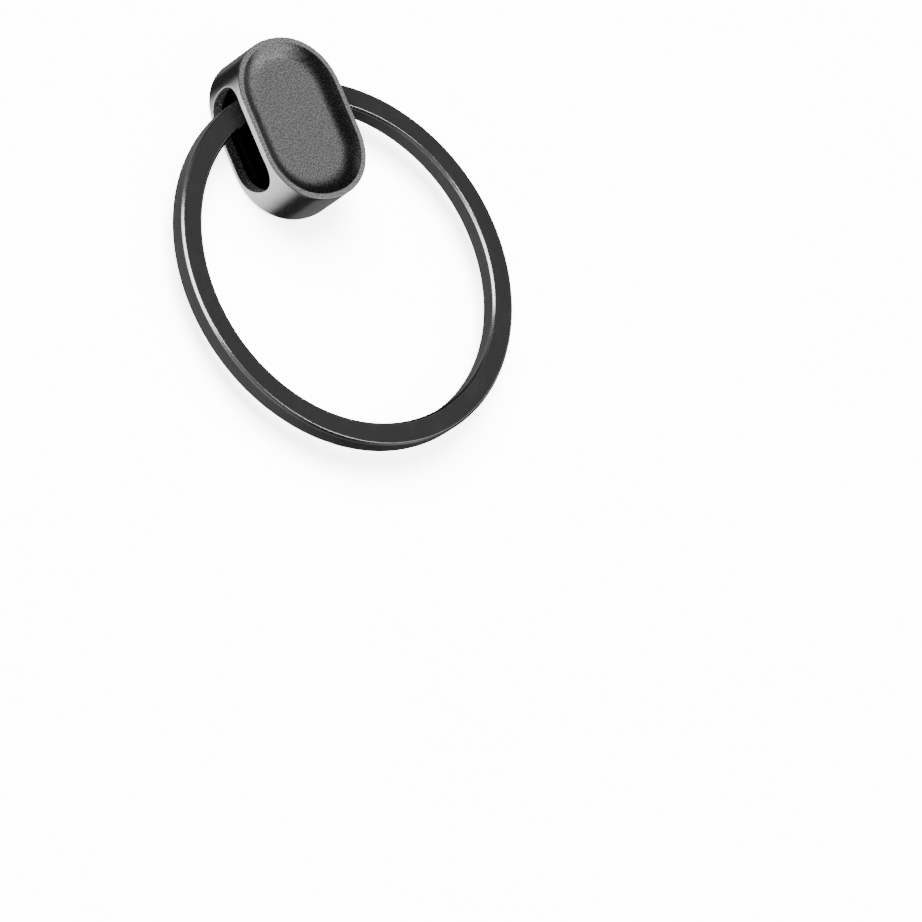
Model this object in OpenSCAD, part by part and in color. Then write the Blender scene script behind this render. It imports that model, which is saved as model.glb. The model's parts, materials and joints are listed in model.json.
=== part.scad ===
// Spring key ring with a capsule that hides its two ends.
// The ring is a single C-shaped spring. One end is pinned inside the capsule, and
// the other rests under a ramped catch and comes down and out of the side window.
// Frame: origin at the ring's centre, +Z out of the capsule's dished front,
// +Y from the ring's centre to the capsule. The object lies on its back cover.

/* [Ring] */
// Outside diameter of the ring
ring_od = 34.25; // [30.25:0.5:40.25]
// Width of the band across the ring
band_w = 2.1; // [2.05:0.05:2.3]
// Thickness of the band along the ring's axis
band_t = 1.8; // [1.5:0.05:1.95]
// Bevel on the band's four edges
band_bevel = 0.2; // [0.1:0.01:0.28]

/* [Capsule] */
// Width of the capsule, across the ring
cap_w = 11; // [10.6:0.1:11.6]
// Length of the capsule, towards the ring's centre
cap_l = 15.3; // [15:0.1:16.5]
// Thickness of the capsule
cap_t = 5.1; // [5:0.1:5.4]
// Radius of the capsule's four rounded corners
cap_corner = 5.15; // [4.6:0.05:5.25]
// How far the capsule's centre lies inside the middle of the band
cap_drop = 3; // [2.8:0.05:3.2]
// Thickness of the capsule's side wall
side_wall = 1; // [0.9:0.05:1.1]
// Bevel round the back edge
back_bevel = 0.4; // [0.2:0.05:0.45]
// Flat rim round the front dish
rim_w = 0.5; // [0.4:0.05:0.7]
// Depth of the front dish
dish_depth = 0.6; // [0.3:0.05:0.65]
// Width of the dish's sloped wall
dish_slope = 1; // [0.6:0.1:1.2]
// Thickness of the metal under the dish
dish_floor = 0.5; // [0.45:0.05:0.6]

/* [Side window] */
// Width of the window, through the capsule's thickness
window_w = 4.05; // [3.4:0.05:4.1]
// Length of the window, along the capsule
window_l = 9.75; // [9:0.05:10]
// Metal between the window and the front face
window_front = 0.6; // [0.55:0.05:0.8]

/* [Back cover] */
// Thickness of the back cover
cover_t = 0.4; // [0.35:0.05:0.45]
// Width of the rim of the capsule round the cover
cover_inset = 0.8; // [0.7:0.05:0.9]
// Gap between pieces that fit into each other
fit_gap = 0.05; // [0.03:0.01:0.08]

/* [Pins] */
// Radius of the anchor pin, which holds the ring's fixed end
anchor_r = 0.5; // [0.4:0.05:0.55]
// Radius of the catch pin, which holds the ring's free end
catch_r = 0.45; // [0.35:0.05:0.5]
// Radius of the rivet at the cover's inner end
rivet_r = 0.6; // [0.4:0.05:0.7]
// Radial gap round a pin in its hole
pin_gap = 0.02; // [0.01:0.01:0.04]

/* [Flexing joint] */
// Where the flexing joint sits on the ring, in degrees from +X
flex_angle = -45; // [-60:1:-40]
// Radius of the joint's rounded nose
nose_r = 0.98; // [0.9:0.01:0.98]
// Gap round the nose
nose_gap = 0.06; // [0.04:0.01:0.09]
// Distance of the ring's fixed end from the capsule's centre line
fixed_end_x = 1.2; // [1:0.1:1.5]
// Distance of the ring's free end from the capsule's centre line
free_end_x = 1.6; // [1.4:0.1:1.8]
// Depth of the step down on the free end where it enters the capsule
step_depth = 0.35; // [0.2:0.05:0.5]

/* [Hidden] */
$fn = 96;
eps = 0.01;

band_outer = ring_od / 2;
band_inner = band_outer - band_w;
band_mid = band_outer - band_w / 2;
half_t = band_t / 2;

cap_y = band_mid - cap_drop;
front_z = cap_t / 2;
back_z = -cap_t / 2;
ceiling_z = front_z - dish_depth - dish_floor;
cover_z = back_z + cover_t;
window_z = front_z - window_front - window_w / 2;

fixed_end_angle = acos(fixed_end_x / band_mid);
free_end_angle = 180 - acos(free_end_x / band_mid);

// The free limb turns about flex_pos, so its free end leaves along a line
// that drops by exit_drop below -X
flex_pos = [band_mid * cos(flex_angle), band_mid * sin(flex_angle)];
free_end_pos = [-free_end_x, band_mid * sin(free_end_angle)];
exit_drop = atan2(flex_pos[0] - free_end_pos[0], free_end_pos[1] - flex_pos[1]);

anchor_angle = 80;
anchor_pos = [band_mid * cos(anchor_angle), band_mid * sin(anchor_angle)];
catch_pos = [-3.3, band_mid + 0.325];
rivet_pos = [0, cap_y - 4.9];
pin_socket = 0.25;
pin_top = ceiling_z + pin_socket;
pin_bevel = 0.12;

// The step down on the free end starts here, just inside the capsule's side
step_x = -cap_w / 2 + 0.1;

// The catch pin stands in a ramp that is cut along the way out of the free end
catch_clear = 0.12;
ramp_run = 3;

// Channel in the guide for the fixed end, in millimetres and degrees
channel_gap = 0.08;
channel_from = 45;
channel_past = 1;
guide_floor = 1.1;
guide_top = ceiling_z - fit_gap;

// The guide's pocket for the free end stops here, short of the capsule's centre line
pocket_x = -0.5;

// Length of band that the flexing joint leaves out of the fixed limb
shoulder = 0.4;

dark_grey = [0.19, 0.19, 0.20];
mid_grey = [0.33, 0.33, 0.34];
pin_grey = [0.42, 0.42, 0.43];
black = [0.05, 0.05, 0.05];

// Rounded rectangle of the capsule's outline, drawn in by inset
module outline(inset) {
    w = cap_w - 2 * inset;
    l = cap_l - 2 * inset;
    r = cap_corner - inset;
    square([w - 2 * r, l], center = true);
    square([w, l - 2 * r], center = true);
    for (sx = [-1, 1]) {
        for (sy = [-1, 1]) {
            translate([sx * (w / 2 - r), sy * (l / 2 - r)]) circle(r = r);
        }
    }
}

// Straight-sided slab of the capsule's outline between two heights
module slab(inset, low, high) {
    translate([0, cap_y, low]) linear_extrude(high - low) outline(inset);
}

// Slab whose sides lean in by lean from its low face to its high face
module leaning_slab(inset, lean, low, high) {
    w = cap_w / 2 - inset;
    l = cap_l / 2 - inset;
    r = cap_corner - inset;
    h = high - low;
    translate([0, cap_y, low]) {
        for (sx = [-1, 1]) {
            for (sy = [-1, 1]) {
                translate([sx * (w - r), sy * (l - r), 0]) cylinder(h = h, r1 = r, r2 = r - lean);
            }
        }
        rotate([90, 0, 0])
            linear_extrude(2 * (l - r), center = true)
                polygon([[-w, 0], [w, 0], [w - lean, h], [-w + lean, h]]);
        rotate([90, 0, 90])
            linear_extrude(2 * (w - r), center = true)
                polygon([[-l, 0], [l, 0], [l - lean, h], [-l + lean, h]]);
    }
}

// Obround window through both side walls, and no deeper than they are
module window() {
    r = window_w / 2;
    reach = cap_w / 2 + 1;
    difference() {
        translate([-reach, cap_y, window_z]) rotate([90, 0, 90]) linear_extrude(2 * reach) {
            square([window_l - window_w, window_w], center = true);
            for (s = [-1, 1]) {
                translate([s * (window_l / 2 - r), 0]) circle(r = r);
            }
        }
        slab(side_wall + eps, back_z - 1, front_z + 1);
    }
}

// Round hole for a pin, from one height to another
module pin_hole(pos, r, low, high) {
    translate([pos[0], pos[1], low]) cylinder(h = high - low, r = r + pin_gap, $fn = 48);
}

// Headless pin with a bevelled end at the back
module pin(pos, r) {
    translate([pos[0], pos[1], 0]) rotate_extrude($fn = 48)
        polygon([[0, back_z], [r - pin_bevel, back_z], [r, back_z + pin_bevel], [r, pin_top], [0, pin_top]]);
}

// Section of the band: a bevelled rectangle at the ring's radius
module band_section() {
    b = band_bevel;
    w = band_w / 2;
    t = half_t;
    translate([band_mid, 0])
        polygon([[-w + b, -t], [w - b, -t], [w, -t + b], [w, t - b], [w - b, t], [-w + b, t], [-w, t - b],
                 [-w, -t + b]]);
}

// Stretch of the band from one angle to another
module band(from, to) {
    rotate([0, 0, from]) rotate_extrude(angle = to - from, $fn = 192) band_section();
}

// Bevelled disc about the flexing joint's axis
module nose(r) {
    translate([flex_pos[0], flex_pos[1], 0]) rotate_extrude($fn = 48)
        polygon([[0, -half_t], [r - band_bevel, -half_t], [r, -half_t + band_bevel], [r, half_t - band_bevel],
                 [r - band_bevel, half_t], [0, half_t]]);
}

// Ramp cut into the outer side of the free end, so that the end slides out under the catch pin
module catch_ramp() {
    reach = catch_r + catch_clear;
    translate([catch_pos[0], catch_pos[1], -half_t - 1]) linear_extrude(band_t + 2) {
        circle(r = reach, $fn = 48);
        rotate([0, 0, exit_drop]) translate([0, -reach]) square([ramp_run, 3 * reach]);
    }
}

// Space above the lowered free end, from its shoulder inwards
module end_step() {
    translate([step_x, 0, half_t - step_depth]) cube([cap_w / 2, band_outer + 1, cap_t]);
}

module capsule_body() {
    color(mid_grey) difference() {
        union() {
            slab(0, back_z + back_bevel, front_z);
            translate([0, 0, 2 * (back_z + back_bevel)])
                mirror([0, 0, 1]) leaning_slab(0, back_bevel, back_z + back_bevel, back_z + 2 * back_bevel);
        }
        // Front dish
        translate([0, 0, 2 * front_z])
            mirror([0, 0, 1]) leaning_slab(rim_w, dish_slope, front_z, front_z + dish_depth);
        // Inner space, open at the back
        slab(side_wall, cover_z, ceiling_z);
        slab(cover_inset, back_z - 1, cover_z + eps);
        window();
        pin_hole(anchor_pos, anchor_r, ceiling_z - eps, pin_top + eps);
        pin_hole(catch_pos, catch_r, ceiling_z - eps, pin_top + eps);
        pin_hole(rivet_pos, rivet_r, ceiling_z - eps, pin_top + eps);
    }
}

module rear_cover() {
    color(mid_grey) difference() {
        slab(cover_inset + fit_gap, back_z, cover_z);
        pin_hole(anchor_pos, anchor_r, back_z - 1, cover_z + 1);
        pin_hole(catch_pos, catch_r, back_z - 1, cover_z + 1);
        pin_hole(rivet_pos, rivet_r, back_z - 1, cover_z + 1);
    }
}

// Tray that fills the inner space, holds the fixed end and leaves room for the free end
module ring_guide() {
    low = cover_z + fit_gap;
    pocket_r = window_w / 2;
    color(black) difference() {
        slab(side_wall + fit_gap, low, guide_top);
        translate([0, 0, low + guide_floor]) {
            // Pocket for the free end, as long as the window
            translate([-cap_w, cap_y - window_l / 2, 0]) cube([cap_w + pocket_x - pocket_r, window_l, cap_t]);
            translate([-cap_w, cap_y - window_l / 2 + pocket_r, 0])
                cube([cap_w + pocket_x, window_l - 2 * pocket_r, cap_t]);
            for (s = [-1, 1]) {
                translate([pocket_x - pocket_r, cap_y + s * (window_l / 2 - pocket_r), 0])
                    cylinder(h = cap_t, r = pocket_r);
            }
        }
        // Channel for the fixed end, open at the front
        translate([0, 0, low + guide_floor]) rotate([0, 0, channel_from])
            rotate_extrude(angle = fixed_end_angle + channel_past - channel_from, $fn = 192)
                translate([band_inner - channel_gap, 0]) square([band_w + 2 * channel_gap, cap_t]);
        pin_hole(anchor_pos, anchor_r, low - 1, front_z);
        pin_hole(catch_pos, catch_r, low - 1, front_z);
        pin_hole(rivet_pos, rivet_r, low - 1, front_z);
    }
}

module anchor_pin() {
    color(pin_grey) pin(anchor_pos, anchor_r);
}

module catch_pin() {
    color(pin_grey) pin(catch_pos, catch_r);
}

module cover_rivet() {
    color(pin_grey) pin(rivet_pos, rivet_r);
}

// From the flexing joint, past +X, to the pinned end
module ring_fixed_limb() {
    color(dark_grey) difference() {
        band(flex_angle + shoulder / band_mid * 180 / PI, fixed_end_angle);
        translate([flex_pos[0], flex_pos[1], -cap_t]) cylinder(h = 2 * cap_t, r = nose_r + nose_gap, $fn = 48);
        pin_hole(anchor_pos, anchor_r, -cap_t, cap_t);
    }
}

// From the free end, past -X and -Y, to the flexing joint
module ring_free_limb() {
    color(dark_grey) difference() {
        union() {
            band(free_end_angle, 360 + flex_angle);
            nose(nose_r);
        }
        catch_ramp();
        end_step();
    }
}

capsule_body();
rear_cover();
ring_guide();
anchor_pin();
catch_pin();
cover_rivet();
ring_fixed_limb();
ring_free_limb();
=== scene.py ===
"""Key ring with a closing capsule: the looks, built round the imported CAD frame."""
import json
import math

import bmesh
import bpy
from mathutils import Matrix, Vector


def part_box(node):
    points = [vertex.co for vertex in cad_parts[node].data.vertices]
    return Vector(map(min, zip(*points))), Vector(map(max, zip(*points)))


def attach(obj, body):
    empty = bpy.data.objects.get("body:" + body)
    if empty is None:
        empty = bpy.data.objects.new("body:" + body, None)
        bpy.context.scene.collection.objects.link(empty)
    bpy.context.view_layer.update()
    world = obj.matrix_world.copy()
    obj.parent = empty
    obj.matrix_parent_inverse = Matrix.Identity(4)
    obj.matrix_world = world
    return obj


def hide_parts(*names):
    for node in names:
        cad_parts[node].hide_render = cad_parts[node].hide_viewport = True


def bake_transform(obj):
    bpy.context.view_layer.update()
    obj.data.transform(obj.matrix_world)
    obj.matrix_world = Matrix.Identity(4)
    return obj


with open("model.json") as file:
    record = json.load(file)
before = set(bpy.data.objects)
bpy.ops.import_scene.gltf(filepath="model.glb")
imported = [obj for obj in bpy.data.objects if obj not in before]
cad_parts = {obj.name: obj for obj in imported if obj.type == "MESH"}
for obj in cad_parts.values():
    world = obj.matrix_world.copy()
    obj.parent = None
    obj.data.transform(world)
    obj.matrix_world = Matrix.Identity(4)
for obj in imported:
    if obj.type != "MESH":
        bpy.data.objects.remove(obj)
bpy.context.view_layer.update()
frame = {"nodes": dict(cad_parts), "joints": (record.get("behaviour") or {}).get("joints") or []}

MM = 0.001

# ---- Places and sizes, in millimetres, from the frame ------------------------
cap_low, cap_high = (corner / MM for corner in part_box("capsule_body"))
ring_low, ring_high = (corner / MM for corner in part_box("ring_free_limb"))
guide_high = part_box("ring_guide")[1] / MM
cover_low, cover_high = (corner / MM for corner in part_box("rear_cover"))

CAP_HALF_W = (cap_high.x - cap_low.x) / 2
CAP_HALF_L = (cap_high.y - cap_low.y) / 2
CAP_Y = (cap_high.y + cap_low.y) / 2
FRONT_Z = cap_high.z
BACK_Z = cap_low.z
COVER_Z = cover_high.z
COVER_INSET = CAP_HALF_W - cover_high.x
GUIDE_GAP = 0.05
CEILING_Z = guide_high.z + GUIDE_GAP

RING_R = -ring_low.x
BAND_HALF_T = ring_high.z
BAND_W = 2.1
BAND_MID = RING_R - BAND_W / 2
FLEX = Vector(frame["joints"][0]["pos_m"]) / MM
PINS = ("anchor_pin", "catch_pin", "cover_rivet")

SHARP_DEG = 30
# How far past a part's faces a cutter reaches
CUT_PAST = 1


# ---- Mesh helpers -------------------------------------------------------------
def make_object(name, bm, materials):
    """Turns a bmesh in millimetres into a smooth-shaded object in metres."""
    bmesh.ops.recalc_face_normals(bm, faces=bm.faces)
    bm.transform(Matrix.Scale(MM, 4))
    mesh = bpy.data.meshes.new(name)
    bm.to_mesh(mesh)
    bm.free()
    for material in materials:
        mesh.materials.append(material)
    mesh.shade_smooth()
    mesh.set_sharp_from_angle(angle=math.radians(SHARP_DEG))
    obj = bpy.data.objects.new(name, mesh)
    bpy.context.scene.collection.objects.link(obj)
    return obj


def join_rings(bm, first, second, material=0, closed=True):
    """Quads between two rings of the same number of vertices."""
    count = len(first)
    for i in range(count if closed else count - 1):
        j = (i + 1) % count
        face = bm.faces.new((first[i], first[j], second[j], second[i]))
        face.material_index = material


def rounded(corners, radius, steps, support):
    """A closed polygon with each corner rounded, and a close point on each side of every rounding."""
    points = []
    count = len(corners)
    for i, corner in enumerate(corners):
        before = (corners[i - 1] - corner).normalized()
        after = (corners[(i + 1) % count] - corner).normalized()
        half = before.angle(after) / 2
        reach = radius / math.tan(half)
        centre = corner + (before + after).normalized() * (radius / math.sin(half))
        start = corner + before * reach - centre
        turn = math.pi - 2 * half
        if before.cross(after) > 0:
            turn = -turn
        points.append(corner + before * (reach + support))
        for step in range(steps + 1):
            angle = turn * step / steps
            cos, sin = math.cos(angle), math.sin(angle)
            points.append(centre + Vector((start.x * cos - start.y * sin, start.x * sin + start.y * cos)))
        points.append(corner + after * (reach + support))
    return points


def cut(obj, cutter):
    """Subtracts cutter from obj for good, and removes cutter."""
    modifier = obj.modifiers.new("cut", "BOOLEAN")
    modifier.operation = "DIFFERENCE"
    modifier.solver = "EXACT"
    modifier.object = cutter
    result = obj.evaluated_get(bpy.context.evaluated_depsgraph_get())
    mesh = bpy.data.meshes.new_from_object(result)
    old = obj.data
    obj.modifiers.clear()
    obj.data = mesh
    mesh.name = obj.name
    bpy.data.meshes.remove(old)
    bpy.data.objects.remove(cutter)
    mesh.shade_smooth()
    mesh.set_sharp_from_angle(angle=math.radians(SHARP_DEG))


def prism(name, outline, low_z, high_z, materials):
    """An upright prism on an outline of points (x, y)."""
    bm = bmesh.new()
    low = [bm.verts.new((p.x, p.y, low_z)) for p in outline]
    high = [bm.verts.new((p.x, p.y, high_z)) for p in outline]
    join_rings(bm, low, high)
    bm.faces.new(low)
    bm.faces.new(high)
    return make_object(name, bm, materials)


def lathe(name, profile, centre, materials, steps=64):
    """Turns a profile of (radius, height) about a vertical axis through centre."""
    bm = bmesh.new()
    rings = []
    for radius, height in profile:
        if radius == 0:
            rings.append([bm.verts.new((centre.x, centre.y, height))] * steps)
            continue
        ring = []
        for step in range(steps):
            angle = 2 * math.pi * step / steps
            ring.append(bm.verts.new((centre.x + radius * math.cos(angle),
                                      centre.y + radius * math.sin(angle), height)))
        rings.append(ring)
    for first, second in zip(rings, rings[1:]):
        for i in range(steps):
            j = (i + 1) % steps
            corners = dict.fromkeys((first[i], first[j], second[j], second[i]))
            bm.faces.new(tuple(corners))
    return make_object(name, bm, materials)


# ---- Materials ----------------------------------------------------------------
# Depth of the dents that a bump of strength 1 stands for
COARSE_BUMP = 0.02
FINE_BUMP = 0.01


def new_material(name):
    """An empty node material, its shader, object coordinates, its links and a function that adds a node."""
    material = bpy.data.materials.new(name)
    material.use_nodes = True
    nodes = material.node_tree.nodes
    shader = next(n for n in nodes if n.type == "BSDF_PRINCIPLED")
    where = nodes.new("ShaderNodeTexCoord").outputs["Object"]
    links = material.node_tree.links

    def add(kind, inputs, **settings):
        node = nodes.new(kind)
        for key, value in settings.items():
            setattr(node, key, value)
        for key, value in inputs.items():
            if isinstance(value, bpy.types.NodeSocket):
                links.new(value, node.inputs[key])
            else:
                node.inputs[key].default_value = value
        return node

    return material, shader, where, links, add


def noise(add, where, size, detail=2.0, rough=0.5, stretch=None):
    """Noise with features of about size millimetres, optionally stretched along the object's axes."""
    source = where
    if stretch:
        source = add("ShaderNodeMapping", {"Vector": where, "Scale": stretch}).outputs["Vector"]
    node = add("ShaderNodeTexNoise",
               {"Vector": source, "Scale": 1 / (size * MM), "Detail": detail, "Roughness": rough})
    return node.outputs["Fac"]


def spread(add, value, low, high, from_low=0.3, from_high=0.7):
    """Maps a noise value to the range from low to high."""
    node = add("ShaderNodeMapRange", {"Value": value, "From Min": from_low, "From Max": from_high,
                                      "To Min": low, "To Max": high})
    return node.outputs["Result"]


def grey(add, value):
    """A grey colour from a number."""
    return add("ShaderNodeCombineColor", {"Red": value, "Green": value, "Blue": value}).outputs["Color"]


def blasted_metal(name, base, base_swing, roughness, bump):
    """Bead-blasted metal: speckle and dents of about a tenth of a millimetre, and soft broad mottling."""
    material, shader, where, links, add = new_material(name)
    speckle = noise(add, where, 0.15, detail=2.0, rough=0.6)
    mottle = noise(add, where, 1.6, detail=2.0)
    both = add("ShaderNodeMath", {0: spread(add, speckle, -base_swing, base_swing),
                                  1: spread(add, mottle, base * 0.95, base * 1.05)}, operation="ADD")
    links.new(grey(add, both.outputs["Value"]), shader.inputs["Base Color"])
    links.new(spread(add, mottle, roughness - 0.03, roughness + 0.03), shader.inputs["Roughness"])
    dents = add("ShaderNodeBump", {"Height": speckle, "Strength": bump, "Distance": COARSE_BUMP * MM})
    links.new(dents.outputs["Normal"], shader.inputs["Normal"])
    shader.inputs["Metallic"].default_value = 1.0
    return material


def satin_metal(name, base, roughness, along):
    """Brushed metal: faint lines drawn out along the object's axes, and soft mottling."""
    material, shader, where, links, add = new_material(name)
    lines = noise(add, where, 0.25, detail=4.0, rough=0.7, stretch=along)
    mottle = noise(add, where, 1.2, detail=2.0)
    links.new(grey(add, spread(add, mottle, base * 0.94, base * 1.06)), shader.inputs["Base Color"])
    links.new(spread(add, lines, roughness - 0.04, roughness + 0.04), shader.inputs["Roughness"])
    fine = add("ShaderNodeBump", {"Height": lines, "Strength": 0.05, "Distance": FINE_BUMP * MM})
    links.new(fine.outputs["Normal"], shader.inputs["Normal"])
    shader.inputs["Metallic"].default_value = 1.0
    return material


def dark_coating(name, base, roughness):
    """Thin dark metallic coating on spring steel, with a fine tooth and a few lighter rubs."""
    material, shader, where, links, add = new_material(name)
    tooth = noise(add, where, 0.13, detail=3.0, rough=0.6)
    rubs = noise(add, where, 2.2, detail=5.0, rough=0.6)
    shade = add("ShaderNodeMath", {0: spread(add, tooth, base * 0.75, base * 1.25),
                                   1: spread(add, rubs, 0.0, base * 0.25, 0.5, 0.75)}, operation="ADD")
    links.new(grey(add, shade.outputs["Value"]), shader.inputs["Base Color"])
    links.new(spread(add, rubs, roughness - 0.04, roughness + 0.04), shader.inputs["Roughness"])
    fine = add("ShaderNodeBump", {"Height": tooth, "Strength": 0.25, "Distance": FINE_BUMP * MM})
    links.new(fine.outputs["Normal"], shader.inputs["Normal"])
    shader.inputs["Metallic"].default_value = 0.3
    shader.inputs["Specular IOR Level"].default_value = 0.06
    return material


def moulded_plastic(name, base, roughness):
    """Black moulded plastic with a fine spark-eroded grain."""
    material, shader, where, links, add = new_material(name)
    grain = noise(add, where, 0.14, detail=2.0, rough=0.6)
    links.new(grey(add, spread(add, grain, base * 0.7, base * 1.3)), shader.inputs["Base Color"])
    links.new(spread(add, grain, roughness - 0.05, roughness + 0.05), shader.inputs["Roughness"])
    pits = add("ShaderNodeBump", {"Height": grain, "Strength": 0.25, "Distance": COARSE_BUMP * MM})
    links.new(pits.outputs["Normal"], shader.inputs["Normal"])
    shader.inputs["Specular IOR Level"].default_value = 0.03
    return material


FLOOR_GLOW = 4.0


def floor_paint(name, base):
    """Plain pale matt floor with hardly visible unevenness and a glow that brings it near white."""
    material, shader, where, links, add = new_material(name)
    mottle = noise(add, where, 30.0, detail=3.0)
    links.new(grey(add, spread(add, mottle, base * 0.99, base * 1.01)), shader.inputs["Base Color"])
    shader.inputs["Roughness"].default_value = 0.9
    shader.inputs["Specular IOR Level"].default_value = 0.2
    shader.inputs["Emission Color"].default_value = (1, 1, 1, 1)
    shader.inputs["Emission Strength"].default_value = FLOOR_GLOW
    return material


# Each metal's "along" stretches its brushing: 1 leaves an axis as it is, and less draws it out.
CAPSULE_FACE = blasted_metal("capsule_face", base=0.26, base_swing=0.17, roughness=0.29, bump=0.5)
# The rim's base colour is painted lighter than the face's (0.46 against 0.26): painted light, for the
# brighter look the rim has from how light falls on it.
CAPSULE_RIM_PAINTED_LIGHTER = blasted_metal("capsule_rim_painted_lighter", base=0.46, base_swing=0.26, roughness=0.40, bump=0.8)
CAPSULE_SIDE = satin_metal("capsule_side", base=0.50, roughness=0.19, along=(1, 1, 0.3))
CAPSULE_CUT = blasted_metal("capsule_cut", base=0.35, base_swing=0.30, roughness=0.85, bump=1.0)
COVER_METAL = blasted_metal("cover_metal", base=0.27, base_swing=0.04, roughness=0.42, bump=0.3)
RING_COAT = dark_coating("ring_coating", base=0.032, roughness=0.38)
RING_BEVEL = satin_metal("ring_bevel", base=0.30, roughness=0.22, along=(1, 1, 1))
PIN_STEEL = satin_metal("pin_steel", base=0.45, roughness=0.28, along=(1, 1, 0.2))
GUIDE_PLASTIC = moulded_plastic("guide_plastic", base=0.003, roughness=0.6)
FLOOR_PAINT = floor_paint("floor_paint", base=0.80)


# ---- Ring -----------------------------------------------------------------------
BAND_BEVEL = 0.2
BAND_EDGE_R = 0.07
BAND_EDGE_STEPS = 4
BAND_EDGE_SUPPORT = 0.02
BAND_STEP_DEG = 0.75
COAT_SLOT = 0
BEVEL_SLOT = 1
FLAT_WITHIN = 1e-6

FIXED_END_X = 1.2
FREE_END_X = -1.6
PIN_CLEAR = 0.02
HOLE_HALF_L = 3

CATCH_CLEAR = 0.12
RAMP_RUN = 3
SEAT_STEPS = 24

STEP_DEPTH = 0.35
STEP_INSIDE = 0.1
STEP_CORNER_R = 0.7
STEP_CORNER_Y = 14.9
STEP_CORNER_TURN = math.pi / 3
STEP_CORNER_STEPS = 10
STEP_CUT_DOWN = 2


def band_section():
    """Section of the band as (radius, height): a rectangle with flat bevels and softened edges."""
    half = BAND_W / 2
    inner, outer = BAND_MID - half, BAND_MID + half
    low, high = -BAND_HALF_T, BAND_HALF_T
    corners = [
        (inner + BAND_BEVEL, low),
        (outer - BAND_BEVEL, low),
        (outer, low + BAND_BEVEL),
        (outer, high - BAND_BEVEL),
        (outer - BAND_BEVEL, high),
        (inner + BAND_BEVEL, high),
        (inner, high - BAND_BEVEL),
        (inner, low + BAND_BEVEL),
    ]
    return rounded([Vector(c) for c in corners], BAND_EDGE_R, BAND_EDGE_STEPS, BAND_EDGE_SUPPORT)


def band(name, from_deg, to_deg):
    """A stretch of the band between two angles, closed at both ends."""
    section = band_section()
    steps = max(1, round(abs(to_deg - from_deg) / BAND_STEP_DEG))
    bm = bmesh.new()
    rings = []
    for step in range(steps + 1):
        angle = math.radians(from_deg + (to_deg - from_deg) * step / steps)
        rings.append([bm.verts.new((p.x * math.cos(angle), p.x * math.sin(angle), p.y)) for p in section])
    for first, second in zip(rings, rings[1:]):
        for i, point in enumerate(section):
            j = (i + 1) % len(section)
            side = section[j] - point
            flat = min(abs(side.x), abs(side.y)) < FLAT_WITHIN
            face = bm.faces.new((first[i], first[j], second[j], second[i]))
            face.material_index = COAT_SLOT if flat else BEVEL_SLOT
    bm.faces.new(rings[0])
    bm.faces.new(list(reversed(rings[-1])))
    return make_object(name, bm, [RING_COAT, RING_BEVEL])


def pin_axis(node):
    """Centre and radius of a pin, from its box."""
    low, high = (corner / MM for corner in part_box(node))
    return (low + high) / 2, (high.x - low.x) / 2


def angle_at(x):
    """Angle on the ring, in degrees, of the point of the band's middle line above x."""
    return math.degrees(math.acos(x / BAND_MID))


def catch_ramp():
    """Cutter for the free end: a round seat for the catch pin, open along the way out."""
    centre, radius = pin_axis("catch_pin")
    reach = radius + CATCH_CLEAR
    end = Vector((FREE_END_X, BAND_MID * math.sin(math.radians(FREE_END_DEG))))
    drop = math.atan2(FLEX.x - end.x, end.y - FLEX.y)
    along = Vector((math.cos(drop), math.sin(drop)))
    across = Vector((-along.y, along.x))
    out = along * RAMP_RUN
    outline = [out - across * reach, out + across * 2 * reach, across * 2 * reach]
    for step in range(SEAT_STEPS + 1):
        angle = drop + math.pi / 2 + math.pi * step / SEAT_STEPS
        outline.append(Vector((math.cos(angle), math.sin(angle))) * reach)
    outline = [centre.xy + p for p in outline]
    past = BAND_HALF_T + CUT_PAST
    return prism("catch_ramp_cutter", outline, -past, past, [RING_BEVEL])


def end_step():
    """Cutter for the free end's front: it steps down just inside the window, with a rounded inner corner."""
    left = -CAP_HALF_W + STEP_INSIDE
    corner = Vector((left - STEP_CORNER_R, STEP_CORNER_Y))
    top = RING_R + CUT_PAST
    bottom = STEP_CORNER_Y - STEP_CUT_DOWN
    outline = [Vector((left, top))]
    for step in range(STEP_CORNER_STEPS + 1):
        angle = -STEP_CORNER_TURN * step / STEP_CORNER_STEPS
        outline.append(corner + Vector((math.cos(angle), math.sin(angle))) * STEP_CORNER_R)
    outline += [Vector((outline[-1].x, bottom)), Vector((0, bottom)), Vector((0, top))]
    return prism("end_step_cutter", outline, BAND_HALF_T - STEP_DEPTH, BAND_HALF_T + CUT_PAST, [RING_BEVEL])


def anchor_hole():
    """Cutter for the hole that the anchor pin stands in."""
    centre, radius = pin_axis("anchor_pin")
    hole, past = radius + PIN_CLEAR, HOLE_HALF_L
    profile = [(0, -past), (hole, -past), (hole, past), (0, past)]
    return lathe("anchor_hole_cutter", profile, centre, [RING_BEVEL])


FIXED_END_DEG = angle_at(FIXED_END_X)
FREE_END_DEG = angle_at(FREE_END_X)

ring_anchored = band("ring_anchored_arc", 0, FIXED_END_DEG)
cut(ring_anchored, anchor_hole())
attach(ring_anchored, "capsule")
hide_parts("ring_fixed_limb")

ring_bend = band("ring_bending_arc", -90, 0)
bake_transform(ring_bend)

ring_free = band("ring_free_arc", FREE_END_DEG, 270)
cut(ring_free, catch_ramp())
cut(ring_free, end_step())
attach(ring_free, "free_limb")
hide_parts("ring_free_limb")


# ---- Capsule: its outline ---------------------------------------------------------
# The rounded ends are superellipses of this power, a little squarer than a half circle (2)
CORNER_POWER = 2.158
WALL_SEARCH_STEPS = 40
STRAIGHT_HALF = CAP_HALF_L - CAP_HALF_W

FACE_SLOT = 0
SIDE_SLOT = 1
CUT_SLOT = 2
RIM_SLOT = 3


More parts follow.
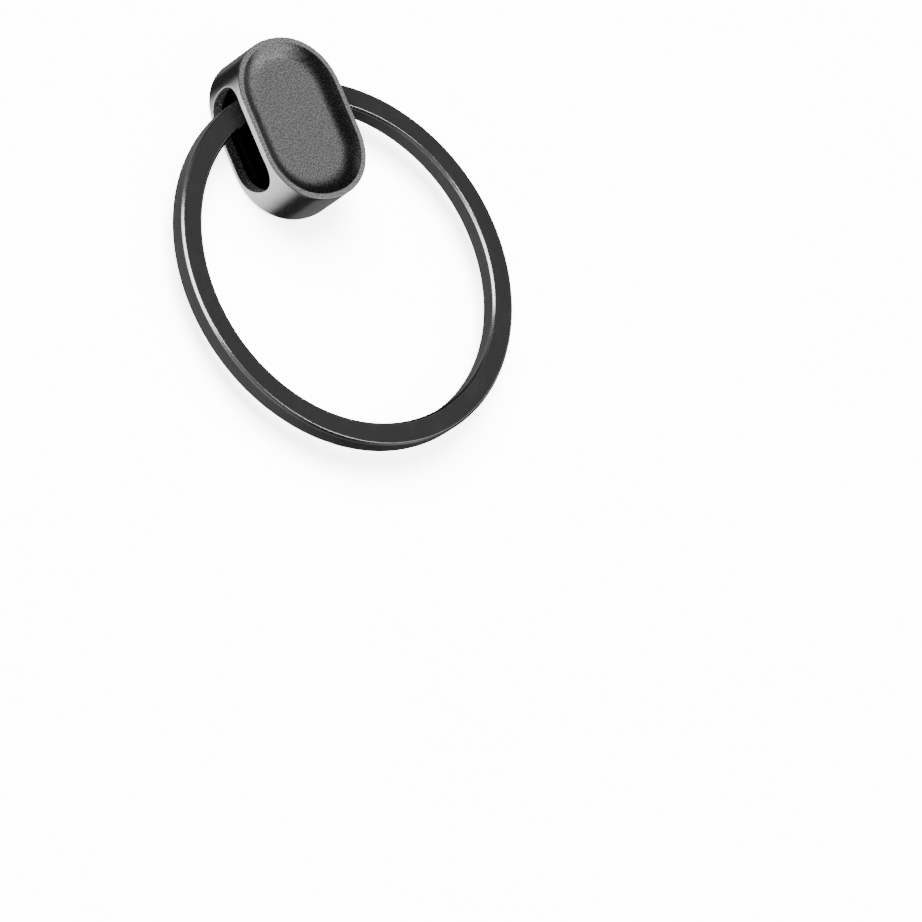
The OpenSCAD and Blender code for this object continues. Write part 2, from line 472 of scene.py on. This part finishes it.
def side_point(y):
    """Point (x, y) of the outline on its +X side at y from the capsule's centre, and its outward normal."""
    past = abs(y) - STRAIGHT_HALF
    if past <= 0:
        return Vector((CAP_HALF_W, y)), Vector((1, 0))
    share = min(1.0, past / CAP_HALF_W)
    x = CAP_HALF_W * (1 - share ** CORNER_POWER) ** (1 / CORNER_POWER)
    normal = Vector((x ** (CORNER_POWER - 1), math.copysign(past ** (CORNER_POWER - 1), y)))
    return Vector((x, y)), normal.normalized()


def end_point(angle):
    """Point of the outline on the rounded +Y end at an angle from +X, and its outward normal."""
    cos, sin = math.cos(angle), math.sin(angle)
    power = 2 / CORNER_POWER
    slope = 2 - power
    x = math.copysign(abs(cos) ** power, cos) * CAP_HALF_W
    y = abs(sin) ** power * CAP_HALF_W + STRAIGHT_HALF
    normal = Vector((math.copysign(abs(cos) ** slope, cos), abs(sin) ** slope))
    return Vector((x, y)), normal.normalized()


def wall_x(y, inset):
    """Half-width, at y from the centre, of the outline drawn in by inset."""
    low, high = 0.0, CAP_HALF_L
    for _ in range(WALL_SEARCH_STEPS):
        middle = (low + high) / 2
        point, normal = side_point(middle)
        if point.y - inset * normal.y < abs(y):
            low = middle
        else:
            high = middle
    point, normal = side_point(low)
    return point.x - inset * normal.x


# ---- Capsule: its window ------------------------------------------------------------
WINDOW_L = 9.75
WINDOW_W = 4.05
WINDOW_FRONT = 0.6
WINDOW_Z = FRONT_Z - WINDOW_FRONT - WINDOW_W / 2
WINDOW_EDGE_R = 0.08
MOUTH_STEPS = 4
TUNNEL_STEPS = 4

# A side panel is the stretch of wall that a window is cut in, out to PANEL_HALF from its middle
PANEL_HALF = 5.6
PANEL_STRAIGHT_STEPS = 28
PANEL_ARC_STEPS = 12
PANEL_ROWS = 12
PANEL_RINGS = 5
PANEL_CORNER = math.radians(38)
END_STEPS = 56


def panel_positions():
    """Places across a side panel, from -Y to +Y, closer together over the window's round ends."""
    straight = (WINDOW_L - WINDOW_W) / 2
    arc = [straight + (PANEL_HALF - straight) * i / PANEL_ARC_STEPS for i in range(1, PANEL_ARC_STEPS + 1)]
    middle = [straight * (2 * i / PANEL_STRAIGHT_STEPS - 1) for i in range(PANEL_STRAIGHT_STEPS + 1)]
    return [-s for s in reversed(arc)] + middle + arc


def window_point(y, row):
    """Point (y, z) of the window's outline, and its outward normal, for a place on the panel's border.

    row is (side, share). On the long borders, side is -1 for the low one and 1 for the high one, and share is
    None. On the short borders, share is the share of the height.
    """
    straight = (WINDOW_L - WINDOW_W) / 2
    radius = WINDOW_W / 2
    side, share = row
    if share is None:
        if abs(y) <= straight:
            return Vector((y, WINDOW_Z + side * radius)), Vector((0, side))
        past = (abs(y) - straight) / (PANEL_HALF - straight)
        angle = math.pi / 2 + (PANEL_CORNER - math.pi / 2) * past
    else:
        side = 1
        angle = PANEL_CORNER * (2 * share - 1)
    normal = Vector((math.copysign(math.cos(angle), y), side * math.sin(angle)))
    return Vector((math.copysign(straight, y), WINDOW_Z)) + normal * radius, normal


def panel_border():
    """Window points that go with the panel's border, anticlockwise from its low -Y corner."""
    ys = panel_positions()
    rows = [j / PANEL_ROWS for j in range(PANEL_ROWS + 1)]
    low = [window_point(y, (-1, None)) for y in ys]
    right = [window_point(PANEL_HALF, (0, share)) for share in rows[1:-1]]
    high = [window_point(y, (1, None)) for y in reversed(ys)]
    left = [window_point(-PANEL_HALF, (0, share)) for share in reversed(rows[1:-1])]
    return low + right + high + left


def wall_with_windows(bm, columns, panels, inset, low_ring, high_ring, edge, material):
    """The straight wall between two rings, with a window in each side panel. Returns the two window loops.

    edge is how far the wall's hole stands back from the window's own outline.
    """
    low_z, high_z = low_ring[0].co.z, high_ring[0].co.z
    inside = {k for first, last, _ in panels for k in range(first + 1, last)}
    rows = [low_ring]
    for j in range(1, PANEL_ROWS):
        z = low_z + (high_z - low_z) * j / PANEL_ROWS
        row = []
        for k, (point, normal) in enumerate(columns):
            place = point - normal * inset
            row.append(None if k in inside else bm.verts.new((place.x, place.y + CAP_Y, z)))
        rows.append(row)
    rows.append(high_ring)
    count = len(columns)
    for k in range(count):
        after = (k + 1) % count
        if any(first <= k < last for first, last, _ in panels):
            continue
        for low, high in zip(rows, rows[1:]):
            face = bm.faces.new((low[k], low[after], high[after], high[k]))
            face.material_index = material
    loops = []
    for first, last, side in panels:
        order = list(range(first, last + 1))
        if side < 0:
            order.reverse()
        border = [low_ring[k] for k in order]
        border += [row[order[-1]] for row in rows[1:-1]]
        border += [high_ring[k] for k in reversed(order)]
        border += [row[order[0]] for row in reversed(rows[1:-1])]
        targets = panel_border()
        previous = border
        for step in range(1, PANEL_RINGS + 1):
            share = step / PANEL_RINGS
            current = []
            for vert, (target, normal) in zip(border, targets):
                start = Vector((vert.co.y - CAP_Y, vert.co.z))
                place = start.lerp(target + normal * edge, share)
                x = side * wall_x(place.x, inset)
                current.append(bm.verts.new((x, place.x + CAP_Y, place.y)))
            join_rings(bm, previous, current, material)
            previous = current
        loops.append(previous)
    return loops


def window_tunnel(bm, outer, inner, side, inner_inset):
    """The softened mouth of a window, and its cut face through the wall."""
    targets = panel_border()
    previous = outer
    for step in range(1, MOUTH_STEPS + 1):
        angle = math.pi / 2 * step / MOUTH_STEPS
        ring = []
        for target, normal in targets:
            place = target + normal * WINDOW_EDGE_R * (1 - math.sin(angle))
            x = wall_x(place.x, 0) - WINDOW_EDGE_R * (1 - math.cos(angle))
            ring.append(bm.verts.new((side * x, place.x + CAP_Y, place.y)))
        join_rings(bm, previous, ring, SIDE_SLOT)
        previous = ring
    for step in range(1, TUNNEL_STEPS):
        share = step / TUNNEL_STEPS
        ring = []
        for target, _ in targets:
            x_out = wall_x(target.x, 0) - WINDOW_EDGE_R
            x = x_out + (wall_x(target.x, inner_inset) - x_out) * share
            ring.append(bm.verts.new((side * x, target.x + CAP_Y, target.y)))
        join_rings(bm, previous, ring, CUT_SLOT)
        previous = ring
    join_rings(bm, previous, inner, CUT_SLOT)


# ---- Capsule: its body ----------------------------------------------------------------
RIM_W = 0.5
DISH_DEPTH = 0.6
COVE_W = 1.8
LIP_STEPS = 3
COVE_STEPS = 18
DISH_FLOOR_SUPPORT = 0.1
EDGE_R = 0.06
EDGE_STEPS = 4
EDGE_SUPPORT = 0.02
BACK_EDGE_R = 0.32
BACK_EDGE_STEPS = 8
SIDE_WALL = 1.0
RECESS_INSET = 0.8
GROOVE_Z = 1.99
GROOVE_INSET = 1.25


def capsule_columns():
    """Outline points and normals all round, anticlockwise, and the two side panels in them."""
    ys = panel_positions()
    right = [side_point(y) for y in ys]
    start = math.asin(((PANEL_HALF - STRAIGHT_HALF) / CAP_HALF_W) ** (CORNER_POWER / 2))
    top = [end_point(start + (math.pi - 2 * start) * i / END_STEPS) for i in range(1, END_STEPS)]
    half = right + top
    other = [(-point, -normal) for point, normal in half]
    first_left = len(half)
    panels = [(0, len(ys) - 1, 1), (first_left, first_left + len(ys) - 1, -1)]
    return half + other, panels


def outline_ring(bm, columns, inset, z):
    """The capsule's outline drawn in by inset, at height z."""
    return [bm.verts.new((p.x - n.x * inset, p.y - n.y * inset + CAP_Y, z)) for p, n in columns]


def arc_profile(centre_inset, centre_z, radius, from_deg, to_deg, steps):
    """Points (inset, z) along an arc. At 0 degrees it faces inwards, and at 90 it faces the front."""
    points = []
    for step in range(steps + 1):
        angle = math.radians(from_deg + (to_deg - from_deg) * step / steps)
        points.append((centre_inset + radius * math.cos(angle), centre_z + radius * math.sin(angle)))
    return points


def dish_profile():
    """Softened lip and wide cove of the front dish, as (inset, z)."""
    tilt = 2 * math.degrees(math.atan(DISH_DEPTH / COVE_W))
    cove_r = COVE_W / math.sin(math.radians(tilt))
    lip = arc_profile(RIM_W, FRONT_Z - EDGE_R, EDGE_R, 90, 90 - tilt, LIP_STEPS)
    cove = arc_profile(RIM_W + COVE_W, FRONT_Z - DISH_DEPTH + cove_r, cove_r, 270 - tilt, 270, COVE_STEPS)
    shift = (lip[-1][0] - cove[0][0], lip[-1][1] - cove[0][1])
    return lip + [(inset + shift[0], z + shift[1]) for inset, z in cove[1:]]


def capsule_body():
    """The shell: outer wall, front, back and hollow, joined through its two windows."""
    columns, panels = capsule_columns()
    bm = bmesh.new()

    def skin(profile, start, material):
        """Carries the surface on from a ring through a profile of (inset, z), and returns its last ring."""
        previous = start
        for inset, z in profile:
            current = outline_ring(bm, columns, inset, z)
            join_rings(bm, previous, current, material)
            previous = current
        return previous

    wall_low = outline_ring(bm, columns, 0, BACK_Z + BACK_EDGE_R)
    wall_high = outline_ring(bm, columns, 0, FRONT_Z - EDGE_R)
    mouths = wall_with_windows(bm, columns, panels, 0, wall_low, wall_high, WINDOW_EDGE_R, SIDE_SLOT)

    front_edge = arc_profile(EDGE_R, FRONT_Z - EDGE_R, EDGE_R, 180, 90, EDGE_STEPS)
    rim = skin(front_edge[1:], wall_high, SIDE_SLOT)
    lip = skin([(EDGE_R + EDGE_SUPPORT, FRONT_Z), (RIM_W - EDGE_SUPPORT, FRONT_Z)], rim, RIM_SLOT)
    dish = skin(dish_profile(), lip, FACE_SLOT)
    floor_edge = skin([(RIM_W + COVE_W + DISH_FLOOR_SUPPORT, dish[0].co.z)], dish, FACE_SLOT)
    bm.faces.new(floor_edge)

    back_edge = arc_profile(BACK_EDGE_R, BACK_Z + BACK_EDGE_R, BACK_EDGE_R, 180, 270, BACK_EDGE_STEPS)
    back = skin(back_edge[1:], wall_low, SIDE_SLOT)
    back_face = [(BACK_EDGE_R + EDGE_SUPPORT, BACK_Z), (RECESS_INSET - EDGE_R - EDGE_SUPPORT, BACK_Z)]
    recess_edge = arc_profile(RECESS_INSET - EDGE_R, BACK_Z + EDGE_R, EDGE_R, 270, 360, EDGE_STEPS)
    recess = skin(back_face + recess_edge, back, FACE_SLOT)
    inner_low = skin([(RECESS_INSET, COVER_Z), (SIDE_WALL, COVER_Z)], recess, CUT_SLOT)
    inner_high = outline_ring(bm, columns, SIDE_WALL, GROOVE_Z)
    holes = wall_with_windows(bm, columns, panels, SIDE_WALL, inner_low, inner_high, 0, CUT_SLOT)
    ceiling = skin([(GROOVE_INSET, GROOVE_Z), (GROOVE_INSET, CEILING_Z)], inner_high, CUT_SLOT)
    face = bm.faces.new(ceiling)
    face.material_index = CUT_SLOT
    for mouth, hole, (_, _, side) in zip(mouths, holes, panels):
        window_tunnel(bm, mouth, hole, side, SIDE_WALL)
    return make_object("capsule_shell", bm, [CAPSULE_FACE, CAPSULE_SIDE, CAPSULE_CUT, CAPSULE_RIM_PAINTED_LIGHTER])


capsule = capsule_body()
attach(capsule, "capsule")
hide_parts("capsule_body")


# ---- Back cover and pins ------------------------------------------------------------------
COVER_BEVEL = 0.05
PIN_GAP = 0.03
HOLE_FLARE = 0.05
PIN_CROWN = 0.04
PIN_CROWN_STEPS = 8
PIN_TOP = CEILING_Z - 0.02
PIN_TOP_BEVEL = 0.04
PIN_FOOT_BEVEL = 0.08
PIN_FOOT = 0.12
PIN_FOOT_SUPPORT = 0.02


def rear_cover():
    """The flush plate in the back, with a flared hole for each pin."""
    columns, _ = capsule_columns()
    bm = bmesh.new()
    profile = [(COVER_INSET, COVER_Z), (COVER_INSET, BACK_Z + COVER_BEVEL)]
    edge = arc_profile(COVER_INSET + COVER_BEVEL, BACK_Z + COVER_BEVEL, COVER_BEVEL, 180, 270, EDGE_STEPS)
    profile += edge[1:]
    rings = [outline_ring(bm, columns, inset, z) for inset, z in profile]
    for first, second in zip(rings, rings[1:]):
        join_rings(bm, first, second)
    bm.faces.new(rings[0])
    bm.faces.new(rings[-1])
    cover = make_object("back_cover", bm, [COVER_METAL])
    for node in PINS:
        centre, radius = pin_axis(node)
        hole = radius + PIN_GAP
        flared = hole + HOLE_FLARE
        bottom = BACK_Z - CUT_PAST
        flare = [(0, bottom), (flared, bottom), (flared, BACK_Z), (hole, BACK_Z + HOLE_FLARE)]
        cut(cover, lathe("hole_cutter", flare + [(hole, 0), (0, 0)], centre, [COVER_METAL]))
    return cover


def turned_pin(node):
    """A pin with a softly crowned, chamfered back end."""
    centre, radius = pin_axis(node)
    flat = radius - PIN_FOOT_BEVEL
    profile = [(0, PIN_TOP), (radius - PIN_TOP_BEVEL, PIN_TOP), (radius, PIN_TOP - PIN_TOP_BEVEL)]
    profile += [(radius, BACK_Z + PIN_FOOT + PIN_FOOT_SUPPORT), (radius, BACK_Z + PIN_FOOT)]
    for step in range(PIN_CROWN_STEPS + 1):
        share = 1 - step / PIN_CROWN_STEPS
        profile.append((flat * share, BACK_Z + PIN_CROWN * share ** 2))
    return lathe(node + "_turned", profile, centre, [PIN_STEEL])


cover = rear_cover()
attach(cover, "capsule")
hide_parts("rear_cover")

for node in PINS:
    pin = turned_pin(node)
    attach(pin, "capsule")
    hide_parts(node)

guide = frame["nodes"]["ring_guide"]
for material_slot in guide.material_slots:
    material_slot.material = GUIDE_PLASTIC


# ---- Floor ----------------------------------------------------------------------------------
FLAT_R = 1000
SWEEP_R = 400
SWEEP_STEPS = 12
WALL_TOP = 1400
FLOOR_STEPS = 96


def make_floor():
    """A round floor that sweeps up into a wall all round, like a studio cove."""
    profile = [(0, BACK_Z), (FLAT_R, BACK_Z)]
    for step in range(1, SWEEP_STEPS + 1):
        angle = math.pi / 2 * step / SWEEP_STEPS
        profile.append((FLAT_R + SWEEP_R * math.sin(angle), BACK_Z + SWEEP_R * (1 - math.cos(angle))))
    profile += [(FLAT_R + SWEEP_R, WALL_TOP), (0, WALL_TOP)]
    return lathe("floor", profile, Vector((0, 0, 0)), [FLOOR_PAINT], FLOOR_STEPS)


# The capsule doesn't mirror the ring, and the floor neither lights nor shades the object.
for piece in (ring_anchored, ring_bend, ring_free):
    piece.visible_glossy = False
floor = make_floor()
floor.visible_glossy = False
floor.visible_diffuse = False
floor.visible_shadow = False


# ---- Light ------------------------------------------------------------------------------------
LIGHT_DISTANCE_M = 0.5
# Power, in watts, of a panel of one square metre and unit radiance
AREA_POWER = 4.0


def collection_of(name, objects):
    """A collection that isn't in the scene, for light linking."""
    group = bpy.data.collections.new(name)
    for obj in objects:
        group.objects.link(obj)
    return group


def direction(azimuth_deg, elevation_deg):
    """Unit vector to a place in the sky; the azimuth is anticlockwise from +X."""
    a, e = math.radians(azimuth_deg), math.radians(elevation_deg)
    return Vector((math.cos(a) * math.cos(e), math.sin(a) * math.cos(e), math.sin(e)))


def add_light(data, azimuth_deg, elevation_deg, receivers):
    """Puts a light in the given direction, aimed at the ring's centre. Only the receivers are lit."""
    obj = bpy.data.objects.new(data.name, data)
    bpy.context.scene.collection.objects.link(obj)
    towards = direction(azimuth_deg, elevation_deg)
    obj.location = towards * LIGHT_DISTANCE_M
    obj.rotation_euler = towards.to_track_quat("Z", "Y").to_euler()
    obj.light_linking.receiver_collection = receivers


def panel(name, azimuth_deg, elevation_deg, width_deg, height_deg, radiance, receivers):
    """A soft rectangular light that fills the given angles, seen from the object."""
    data = bpy.data.lights.new(name, "AREA")
    data.shape = "RECTANGLE"
    data.size = 2 * LIGHT_DISTANCE_M * math.tan(math.radians(width_deg / 2))
    data.size_y = 2 * LIGHT_DISTANCE_M * math.tan(math.radians(height_deg / 2))
    data.energy = radiance * data.size * data.size_y * AREA_POWER
    add_light(data, azimuth_deg, elevation_deg, receivers)


def sun(name, azimuth_deg, elevation_deg, strength, size_deg, receivers):
    """A distant light, soft over size_deg."""
    data = bpy.data.lights.new(name, "SUN")
    data.energy = strength
    data.angle = math.radians(size_deg)
    add_light(data, azimuth_deg, elevation_deg, receivers)


# Soft round cards of light that the metal reflects: azimuth, elevation, full out to, none beyond, radiance.
# The low ones stand for reflectors under a glass table.
CARDS = (
    (5, 42, 12, 31, 0.78),
    (-42, 36, 8, 36, 1.1),
    (186, -50, 9, 54, 2.2),
    (5, -49, 35.5, 37, 0.17),
    (118, 28, 15, 34, 0.25),
    (225, 25, 10, 30, 0.3),
    (0, -18, 6, 26, 0.5),
    (90, -16, 8, 30, 0.5),
    (270, -16, 8, 30, 0.5),
    (180, -2, 8, 30, 0.4),
)
AMBIENT = 0.022


def studio_world():
    """A dark room with the cards of light round the object."""
    world = bpy.data.worlds.new("studio")
    bpy.context.scene.world = world
    world.use_nodes = True
    nodes, links = world.node_tree.nodes, world.node_tree.links
    background = next(n for n in nodes if n.type == "BACKGROUND")
    where = nodes.new("ShaderNodeTexCoord").outputs["Generated"]
    total = None
    for azimuth, elevation, inner, outer, radiance in CARDS:
        towards = nodes.new("ShaderNodeVectorMath")
        towards.operation = "DOT_PRODUCT"
        links.new(where, towards.inputs[0])
        towards.inputs[1].default_value = direction(azimuth, elevation)
        card = nodes.new("ShaderNodeMapRange")
        card.interpolation_type = "SMOOTHSTEP"
        links.new(towards.outputs["Value"], card.inputs["Value"])
        card.inputs["From Min"].default_value = math.cos(math.radians(outer))
        card.inputs["From Max"].default_value = math.cos(math.radians(inner))
        card.inputs["To Max"].default_value = radiance
        both = nodes.new("ShaderNodeMath")
        links.new(card.outputs["Result"], both.inputs[0])
        if total:
            links.new(total, both.inputs[1])
        else:
            both.inputs[1].default_value = AMBIENT
        total = both.outputs["Value"]
    background.inputs["Color"].default_value = (1, 1, 1, 1)
    links.new(total, background.inputs["Strength"])


studio_world()

floor_only = collection_of("lit_floor", [floor])
capsule_only = collection_of("lit_capsule", [capsule])
ring_only = collection_of("lit_ring", [ring_anchored, ring_bend, ring_free])
sun("floor_key", 100, 55, strength=34, size_deg=45, receivers=floor_only)
sun("floor_fill", 20, 80, strength=13, size_deg=90, receivers=floor_only)
panel("edge_strip", 152, 36, width_deg=56, height_deg=12, radiance=10, receivers=ring_only)
panel("window_light", 169, 24, width_deg=22, height_deg=12, radiance=12, receivers=capsule_only)
panel("edge_light", -60, 64, width_deg=18, height_deg=26, radiance=10, receivers=ring_only)
panel("low_front", 92, -49, width_deg=50, height_deg=50, radiance=0.6, receivers=ring_only)
sun("ring_key", 186, 58, strength=1.6, size_deg=12, receivers=ring_only)
panel("low_side", 245, -49, width_deg=40, height_deg=40, radiance=0.5, receivers=ring_only)


# ---- Camera -----------------------------------------------------------------------------------
CAMERA_DISTANCE = 684.16
CAMERA_AZIMUTH_DEG = -77.51
CAMERA_ELEVATION_DEG = 49.34
CAMERA_ROLL_DEG = 57.56
CAMERA_SHIFT_RIGHT = 10.166
CAMERA_SHIFT_UP = -17.111
CAMERA_LENS = 306.4
CAMERA_SENSOR = 36


def make_camera():
    """The camera looks past the ring's centre, moved sideways and up in its own picture plane."""
    a, e, r = (math.radians(x) for x in (CAMERA_AZIMUTH_DEG, CAMERA_ELEVATION_DEG, CAMERA_ROLL_DEG))
    back = Vector((math.sin(a) * math.cos(e), -math.cos(a) * math.cos(e), math.sin(e)))
    level = Vector((math.cos(a), math.sin(a), 0))
    right = level * math.cos(r) + back.cross(level) * math.sin(r)
    up = back.cross(right)
    data = bpy.data.cameras.new("camera")
    data.lens = CAMERA_LENS
    data.sensor_width = CAMERA_SENSOR
    obj = bpy.data.objects.new("camera", data)
    bpy.context.scene.collection.objects.link(obj)
    place = back * CAMERA_DISTANCE + right * CAMERA_SHIFT_RIGHT + up * CAMERA_SHIFT_UP
    turn = Matrix((right, up, back)).transposed().to_4x4()
    obj.matrix_world = Matrix.Translation(place * MM) @ turn
    bpy.context.scene.camera = obj


make_camera()
